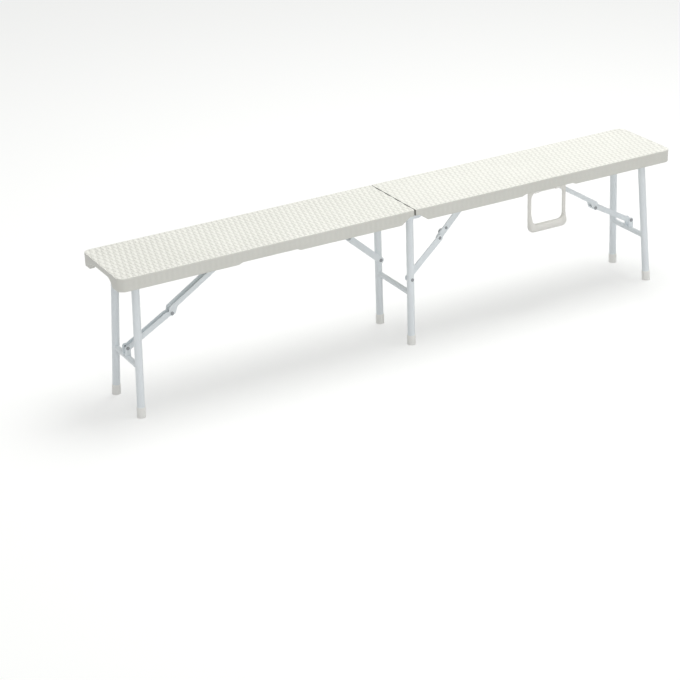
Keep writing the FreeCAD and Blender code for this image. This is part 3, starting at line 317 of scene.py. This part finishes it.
# Painted shade: the slit at the seam, marked deeper than any hollow, turns nearly dark.
slit_shade_share = add(tree, "MapRange", [(hollow.outputs["Fac"], "Value")], From_Min=2.5,
          From_Max=SLIT_HOLLOW)
painted_slit_shade = add(tree, "Mix", [(slit_shade_share.outputs["Result"], "Factor"), (painted_weave_shade.outputs["Result"], "A")],
           data_type="RGBA", B=linear("#6B6A65"))
tree.links.new(painted_slit_shade.outputs["Result"], surface.inputs["Base Color"])
skin = add(tree, "Bump", [(grain.outputs["Fac"], "Height")], Strength=0.12,
           Distance=GRAIN_DEPTH / 1000)
tree.links.new(skin.outputs["Normal"], surface.inputs["Normal"])

for side, turn in (("right", 1), ("left", -1)):
    grids = [grid * [turn, turn, 1] for grid in seat_grids(side == "right")]
    seat = moulding(f"woven_seat_{side}", grids, hdpe)
    mark_hollows(seat, turn)
    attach(seat, f"{side}_half")
    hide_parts(f"seat_{side}")

# Legs, crossbars and channel links
# Steel tube and folded strip, welded and then powder coated in a pale blue-grey. The baked
# coat gives a soft sheen along the tubes, broken by a slight orange peel.
PEEL = 2.4


def dress(finish, slot, names=""):
    """Gives a finish to the pieces of one slot that keep their own shape and whose names
    start with these letters."""
    for part in frame["record"]["subparts"]:
        if part["material_slot"] == slot and part["node"].startswith(names):
            mesh = nodes[part["node"]].data
            mesh.materials.clear()
            mesh.materials.append(finish)


coat, tree, surface = finish_of("powder coat, pale blue-grey",
                                Base_Color=linear("#F4FAFD"), Roughness=0.3, IOR=1.5)
place = add(tree, "TexCoord")
peel = add(tree, "TexNoise", [(place.outputs["Object"], "Vector")], Scale=1000 / PEEL,
           Detail=2.0)
skin = add(tree, "Bump", [(peel.outputs["Fac"], "Height")], Strength=0.2,
           Distance=GRAIN_DEPTH / 1000)
tree.links.new(skin.outputs["Normal"], surface.inputs["Normal"])
dress(coat, "powder_coat")

# Foot caps and handle clips
# Polypropylene, injection moulded: the caps are pushed over the tube ends, and the clips
# are screwed under the panel. It gives a matt, milky white that is warmer than the coat,
# with a fine mould grain.
CAP_GRAIN = 1.4
cap_plastic, tree, surface = finish_of("moulded polypropylene, warm white",
                                       Base_Color=linear("#FEFEFA"), Roughness=0.45, IOR=1.49)
place = add(tree, "TexCoord")
grain = add(tree, "TexNoise", [(place.outputs["Object"], "Vector")],
            Scale=1000 / CAP_GRAIN, Detail=2.0)
skin = add(tree, "Bump", [(grain.outputs["Fac"], "Height")], Strength=0.15,
           Distance=GRAIN_DEPTH / 1000)
tree.links.new(skin.outputs["Normal"], surface.inputs["Normal"])
dress(cap_plastic, "cap_plastic")
dress(cap_plastic, "clip_plastic")

# Brackets, straps, saddles and lock plates
# Pressed steel strip, bright zinc plated, screwed or riveted on: a grey mirror, blurred in
# clouds where the plating is duller.
ZINC_CLOUD = 6.25
zinc, tree, surface = finish_of("zinc plated pressed steel", Base_Color=linear("#B9BCBE"),
                                Metallic=1.0, Roughness=0.36)
place = add(tree, "TexCoord")
cloud = add(tree, "TexNoise", [(place.outputs["Object"], "Vector")],
            Scale=1000 / ZINC_CLOUD, Detail=4.0)
rough = add(tree, "MapRange", [(cloud.outputs["Fac"], "Value")], To_Min=0.28, To_Max=0.46)
tree.links.new(rough.outputs["Result"], surface.inputs["Roughness"])
dress(zinc, "pressed_steel")

# Rivets and pins
# Cold headed steel, dull zinc: small grey points that stand out from the pale coat, with a
# fine uneven blur.
RIVET_CLOUD = 2.0
rivet, tree, surface = finish_of("zinc plated rivet steel, dull", Base_Color=linear("#9A9DA0"),
                                 Metallic=1.0, Roughness=0.42)
place = add(tree, "TexCoord")
cloud = add(tree, "TexNoise", [(place.outputs["Object"], "Vector")],
            Scale=1000 / RIVET_CLOUD, Detail=3.0)
rough = add(tree, "MapRange", [(cloud.outputs["Fac"], "Value")], To_Min=0.34, To_Max=0.52)
tree.links.new(rough.outputs["Result"], surface.inputs["Roughness"])
dress(rivet, "zinc_fastener")

# Middle hinges
# Steel plates on the centre frame, and the pins that the straps turn on. They are powder
# coated together with the frame, so they take its pale blue-grey and not bare zinc.
dress(coat, "pressed_steel", "hinge_plate")
dress(coat, "zinc_fastener", "hinge_pins")

# Carrying handle
# Polyethylene loop with a thick grip, moulded in one piece. It hangs by its round bar from
# two clips under the panel.
LOOP_X, LOOP_HALF, LOOP_LOW, LOOP_AXIS, LOOP_Y = 465.0, 67.5, 268.0, 394.0, -110.0
STRAP_WIDE, GRIP_HIGH, BAR_RADIUS = 11.5, 24.0, 4.5
OUTER_BEND, OUTER_TOP_BEND, INNER_BEND = 17.0, 9.0, 18.0
STRAP_HALF, GRIP_SWELL, BAR_SWELL, GRIP_SHIFT = 3.0, 7.25, 1.5, -4.75
GRIP_TOP, GRIP_BLEND, BAR_FROM, BAR_BLEND = 322.0, 36.0, 382.0, 10.0
STRAP_SQUARE, GRIP_ROUNDER, BAR_ROUNDER = 0.55, 0.25, 0.45
LOOP_GRAIN = 1.25


def rounded_frame(half, low, high, low_round, high_round, count=24):
    """Closed outline in the handle's plane from the middle of the grip: grip, corner,
    strap, corner, bar and the same back again, with as many points in each part."""
    turn = spread((0, math.pi / 2), count + 1)
    right = np.concatenate([
        np.column_stack([spread((0, half - low_round), 2 * count)[:-1],
                         np.full(2 * count - 1, low)]),
        np.column_stack([half - low_round + low_round * np.sin(turn),
                         low + low_round - low_round * np.cos(turn)]),
        np.column_stack([np.full(2 * count - 2, half),
                         spread((low + low_round, high - high_round), 2 * count)[1:-1]]),
        np.column_stack([half - high_round + high_round * np.cos(turn),
                         high - high_round + high_round * np.sin(turn)]),
        np.column_stack([spread((half - high_round, 0), 2 * count)[1:],
                         np.full(2 * count - 1, high)])])
    left = right[::-1] * [-1, 1]
    return np.concatenate([right, left[1:]])


def eased(share):
    """0 to 1 with a soft start and a soft end, from a share held between 0 and 1."""
    share = np.clip(share, 0, 1)
    return share * share * (3 - 2 * share)


def handle_grid():
    """Skin of the loop: a rounded section between an inner and an outer outline. Its
    half depth, middle and squareness follow the height: thick and oval at the grip,
    flat at the straps and round at the bar."""
    outer = rounded_frame(LOOP_HALF, LOOP_LOW, LOOP_AXIS + BAR_RADIUS, OUTER_BEND,
                          OUTER_TOP_BEND)
    inner = rounded_frame(LOOP_HALF - STRAP_WIDE, LOOP_LOW + GRIP_HIGH, LOOP_AXIS - BAR_RADIUS,
                          INNER_BEND, INNER_BEND)
    middle = (outer + inner) / 2
    grip = eased((GRIP_TOP - middle[:, 1]) / GRIP_BLEND)
    bar = eased((middle[:, 1] - BAR_FROM) / BAR_BLEND)
    depth = STRAP_HALF + GRIP_SWELL * grip + BAR_SWELL * bar
    centre_y = LOOP_Y + GRIP_SHIFT * grip
    square = (STRAP_SQUARE + GRIP_ROUNDER * grip + BAR_ROUNDER * bar)[:, None]
    angle = spread((0, 2 * math.pi), 33)
    cosine, sine = np.cos(angle), np.sin(angle)
    wide = np.sign(cosine) * np.abs(cosine) ** square
    deep = np.sign(sine) * np.abs(sine) ** square
    reach = ((outer - inner) / 2)[:, None, :] * wide[:, :, None]
    flat = middle[:, None, :] + reach
    y = centre_y[:, None] + depth[:, None] * deep
    return np.stack([LOOP_X + flat[..., 0], y, flat[..., 1]], -1)


# Moulded polyethylene: as waxy as the seat but smoother, so that the grip catches a longer
# highlight, in a slightly creamier white.
loop_plastic, tree, surface = finish_of("moulded polyethylene, cream white",
                                        Base_Color=linear("#F0EFE9"), Roughness=0.45, IOR=1.54)
place = add(tree, "TexCoord")
grain = add(tree, "TexNoise", [(place.outputs["Object"], "Vector")],
            Scale=1000 / LOOP_GRAIN, Detail=2.0)
skin = add(tree, "Bump", [(grain.outputs["Fac"], "Height")], Strength=0.15,
           Distance=GRAIN_DEPTH / 1000)
tree.links.new(skin.outputs["Normal"], surface.inputs["Normal"])
loop = moulding("carrying_handle", [handle_grid()], loop_plastic)
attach(loop, "handle")
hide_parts("handle")

# Floor
# A plain white floor that keeps the bench's shadow. What the camera sees of it is part
# paint, part its own glow, so that the shadow stays pale; other rays meet a grey floor.
REACH = 40
floor_paint, tree, surface = finish_of("plain white floor", Roughness=1.0,
                                       Specular_IOR_Level=0.0, Emission_Color=(1, 1, 1, 1))
ray = add(tree, "LightPath")
seen = add(tree, "Math", [(ray.outputs["Is Camera Ray"], 0), (ray.outputs["Is Glossy Ray"], 1)],
           operation="MAXIMUM")
paint = add(tree, "Mix", [(seen.outputs["Value"], "Factor")], data_type="RGBA",
            A=linear("#D0D0D0"), B=linear("#BCBDBB"))
tree.links.new(paint.outputs["Result"], surface.inputs["Base Color"])
glow = add(tree, "MapRange", [(seen.outputs["Value"], "Value")], To_Max=0.48)
tree.links.new(glow.outputs["Result"], surface.inputs["Emission Strength"])
mesh = bpy.data.meshes.new("floor")
corners = [(-REACH, -REACH, 0), (REACH, -REACH, 0), (REACH, REACH, 0), (-REACH, REACH, 0)]
mesh.from_pydata(corners, [], [(0, 1, 2, 3)])
mesh.materials.append(floor_paint)
floor = bpy.data.objects.new("floor", mesh)
bpy.context.scene.collection.objects.link(floor)

# Light
# A soft sky that is brighter overhead than at the horizon, which darkens the tubes' sides,
# a wide lamp over the bench, which lays its shadow right under it, and a weak lamp in front.
HORIZON, OVERHEAD = 0.32, 0.76
world = bpy.data.worlds.new("soft studio")
world.use_nodes = True
bpy.context.scene.world = world
tree = world.node_tree
ray = add(tree, "LightPath")
way = add(tree, "TexCoord")
height = add(tree, "SeparateXYZ", [(way.outputs["Generated"], "Vector")])
shade = add(tree, "MapRange", [(height.outputs["Z"], "Value")], To_Min=HORIZON,
            To_Max=OVERHEAD)
strength = add(tree, "Math", [(ray.outputs["Is Camera Ray"], 0), (shade.outputs["Result"], 1)],
               operation="MAXIMUM")
sky = tree.nodes["Background"]
sky.inputs["Color"].default_value = (1, 1, 1, 1)
tree.links.new(strength.outputs["Value"], sky.inputs["Strength"])


def round_lamp(name, place, target, size, watts):
    """A round soft lamp that faces a point, in metres."""
    lamp = bpy.data.lights.new(name, "AREA")
    lamp.shape = "DISK"
    lamp.size = size
    lamp.energy = watts
    item = bpy.data.objects.new(name, lamp)
    bpy.context.scene.collection.objects.link(item)
    away = np.array(place, float) - np.array(target, float)
    away /= np.linalg.norm(away)
    side = np.cross([0, 1, 0.001], away)
    side /= np.linalg.norm(side)
    turn = np.column_stack([side, np.cross(away, side), away])
    item.matrix_world = Matrix.Translation(place) @ Matrix(turn.tolist()).to_4x4()


round_lamp("overhead", (0.9, 0.2, 4.0), (0.1, 0, 0.3), 2.6, 102)
round_lamp("front fill", (-1.2, -4.8, 2.0), (0, 0, 0.3), 2.0, 34)

# Camera
# Place, turn and lens were fitted to the bench's feet and corners in the photograph.
LENS, SENSOR, EYE_AT = 100.01, 36, (-2.5983, -4.4206, 2.3569)
camera = bpy.data.cameras.new("camera")
camera.lens = LENS
camera.sensor_width = SENSOR
azimuth, elevation, roll = (math.radians(a) for a in (-28.582, 24.851, -2.064))
back = np.array([math.sin(azimuth) * math.cos(elevation),
                 -math.cos(azimuth) * math.cos(elevation), math.sin(elevation)])
level = np.array([math.cos(azimuth), math.sin(azimuth), 0])
upright = np.cross(back, level)
right = level * math.cos(roll) + upright * math.sin(roll)
up = upright * math.cos(roll) - level * math.sin(roll)
eye = bpy.data.objects.new("camera", camera)
bpy.context.scene.collection.objects.link(eye)
eye.matrix_world = (Matrix.Translation(EYE_AT)
                    @ Matrix(np.column_stack([right, up, back]).tolist()).to_4x4())
bpy.context.scene.camera = eye
bpy.context.scene.view_settings.view_transform = "Standard"
